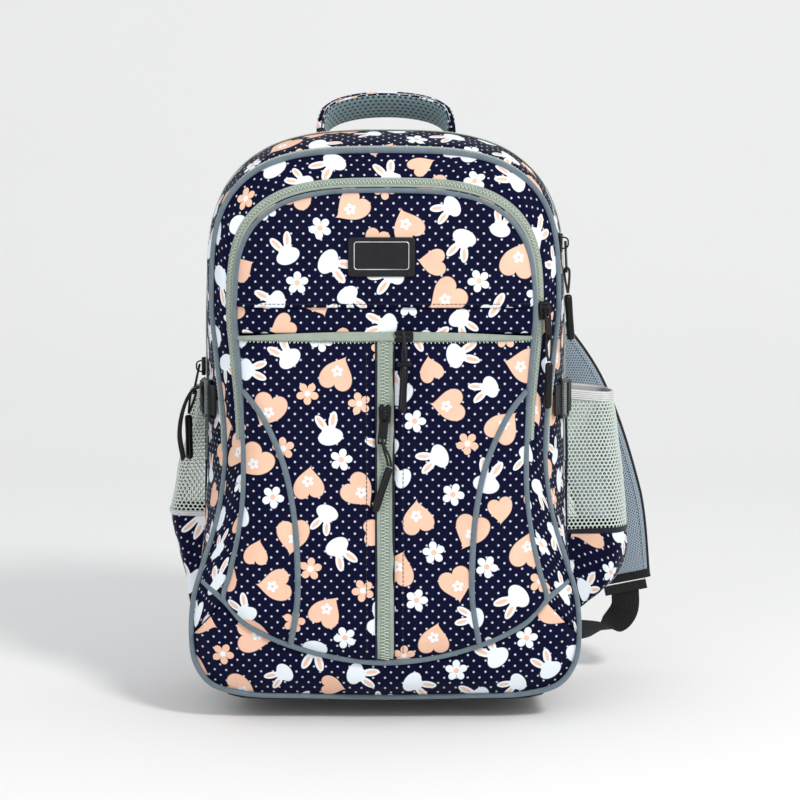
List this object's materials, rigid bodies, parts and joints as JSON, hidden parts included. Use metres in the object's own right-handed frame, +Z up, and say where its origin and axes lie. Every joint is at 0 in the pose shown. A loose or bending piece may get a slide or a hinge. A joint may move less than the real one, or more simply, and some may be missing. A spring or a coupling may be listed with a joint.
{
  "type": "school backpack",
  "caption": "School backpack with arched zipped compartments, a padded carry handle, shoulder straps and net bottle pockets at the sides.",
  "frame": {"origin": "centre of the base, on the ground, in the plane of the main zip", "axes": "+Z up, -Y is the front face with the pockets, +X is to the right seen from the front"},
  "size_m": [0.4181, 0.2572, 0.5014],
  "materials": {
    "printed_fabric": "woven, printed, slight sheen",
    "spacer_mesh": "knitted spacer mesh",
    "open_mesh": "open net",
    "elastic_binding": "ribbed elastic",
    "zip_tape": "woven tape with coil",
    "piping": "corded piping",
    "lining": "plain woven lining",
    "board": "matte",
    "black_fabric": "plain woven",
    "badge": "moulded, satin",
    "black_plastic": "moulded, glossy",
    "black_webbing": "ribbed webbing",
    "slider_metal": "black enamel",
    "black_cord": "braided"
  },
  "bodies": {
    "bag": {"back_panel": "black_fabric", "rear_gusset": "printed_fabric", "main_zip_rear_half": "zip_tape", "back_pads": "spacer_mesh", "base_panel": "black_fabric", "base_board": "board", "lower_gusset": "printed_fabric", "gusset_fold": "printed_fabric", "smile_panel": "printed_fabric", "lower_dividers": "lining", "divider_fold": "lining", "lower_piping": "piping", "piping_fold": "piping", "front_panel_foot": "printed_fabric", "front_panel_fold": "printed_fabric", "vertical_zip_lower": "zip_tape", "left_pocket_base": "printed_fabric", "left_pocket_mesh": "open_mesh", "right_pocket_base": "printed_fabric", "right_pocket_mesh": "open_mesh", "pocket_bindings": "elastic_binding", "shoulder_strap_right": "spacer_mesh", "shoulder_strap_left": "spacer_mesh", "strap_webbing": "black_webbing", "strap_ladder_locks": "black_plastic", "side_webbing": "black_webbing"},
    "front_section": {"middle_gusset": "printed_fabric", "second_zip": "zip_tape", "main_zip_front_half": "zip_tape", "dividers": "lining", "front_band": "printed_fabric", "front_zip": "zip_tape", "outer_piping": "piping", "inner_piping": "piping", "trim_piping": "piping", "label_panel": "printed_fabric", "front_panel_left": "printed_fabric", "front_panel_right": "printed_fabric", "vertical_zip": "zip_tape", "pocket_zip": "zip_tape", "label_badge": "badge", "side_buckle_left": "black_plastic", "side_buckle_right": "black_plastic", "buckle_anchors": "black_webbing"},
    "handle": {"carry_handle": "printed_fabric"},
    "vertical_zip_slider": {"vertical_zip_pull_slider": "slider_metal"},
    "vertical_zip_pull": {"vertical_zip_pull_cord": "black_cord", "vertical_zip_pull_grip": "black_plastic"},
    "pocket_zip_slider": {"pocket_zip_pull_slider": "slider_metal"},
    "pocket_zip_pull": {"pocket_zip_pull_cord": "black_cord", "pocket_zip_pull_grip": "black_plastic"},
    "front_zip_slider": {"front_zip_pull_slider": "slider_metal"},
    "front_zip_pull": {"front_zip_pull_cord": "black_cord", "front_zip_pull_grip": "black_plastic"},
    "second_zip_slider": {"second_zip_pull_slider": "slider_metal"},
    "second_zip_pull": {"second_zip_pull_cord": "black_cord", "second_zip_pull_grip": "black_plastic"},
    "main_zip_slider": {"main_zip_pull_slider": "slider_metal"},
    "main_zip_pull": {"main_zip_pull_cord": "black_cord", "main_zip_pull_grip": "black_plastic"}
  },
  "joints": [
    {"name": "main_compartment_opening", "type": "hinge", "parent": "bag", "child": "front_section", "pos_m": [0, 0, 0.185], "axis": [1, 0, 0], "range_deg": [0, 22], "deforming": ["gusset_fold", "divider_fold", "piping_fold", "front_panel_fold", "side_webbing"]},
    {"name": "carry_handle_tilt", "type": "hinge", "parent": "bag", "child": "handle", "pos_m": [0, 0.086, 0.466], "axis": [1, 0, 0], "range_deg": [-40, 75]},
    {"name": "vertical_zip_travel", "type": "slide", "parent": "front_section", "child": "vertical_zip_slider", "axis": [0, 0.0391, 0.9992], "range_m": [-0.042, 0.045]},
    {"name": "vertical_zip_pull_swing", "type": "hinge", "parent": "vertical_zip_slider", "child": "vertical_zip_pull", "pos_m": [0, -0.10003, 0.237], "axis": [-1, 0, 0], "range_deg": [0, 120]},
    {"name": "pocket_zip_travel", "type": "slide", "parent": "front_section", "child": "pocket_zip_slider", "axis": [1, 0, 0], "range_m": [-0.105, 0.078]},
    {"name": "pocket_zip_pull_swing", "type": "hinge", "parent": "pocket_zip_slider", "child": "pocket_zip_pull", "pos_m": [0.015, -0.09764, 0.298], "axis": [-1, 0, 0], "range_deg": [0, 120], "deforming": ["pocket_zip_pull_cord"]},
    {"name": "front_zip_travel", "type": "slide", "parent": "front_section", "child": "front_zip_slider", "axis": [0.0644, 0.0388, 0.9972], "range_m": [-0.105, 0]},
    {"name": "front_zip_pull_swing", "type": "hinge", "parent": "front_zip_slider", "child": "front_zip_pull", "pos_m": [0.1291, -0.07843, 0.318], "axis": [-0.666, -0.746, 0], "range_deg": [0, 120]},
    {"name": "second_zip_travel", "type": "slide", "parent": "front_section", "child": "second_zip_slider", "axis": [0, 0.0356, 0.9994], "range_m": [-0.11, 0]},
    {"name": "second_zip_pull_swing", "type": "hinge", "parent": "second_zip_slider", "child": "second_zip_pull", "pos_m": [0.1454, -0.04741, 0.371], "axis": [-0.1701, -0.9854, 0], "range_deg": [0, 120]},
    {"name": "main_zip_travel", "type": "slide", "parent": "bag", "child": "main_zip_slider", "axis": [0, 0, 1], "range_m": [0, 0.06]},
    {"name": "main_zip_pull_swing", "type": "hinge", "parent": "main_zip_slider", "child": "main_zip_pull", "pos_m": [-0.1549, 0, 0.268], "axis": [0, 1, 0], "range_deg": [0, 120]}
  ]
}
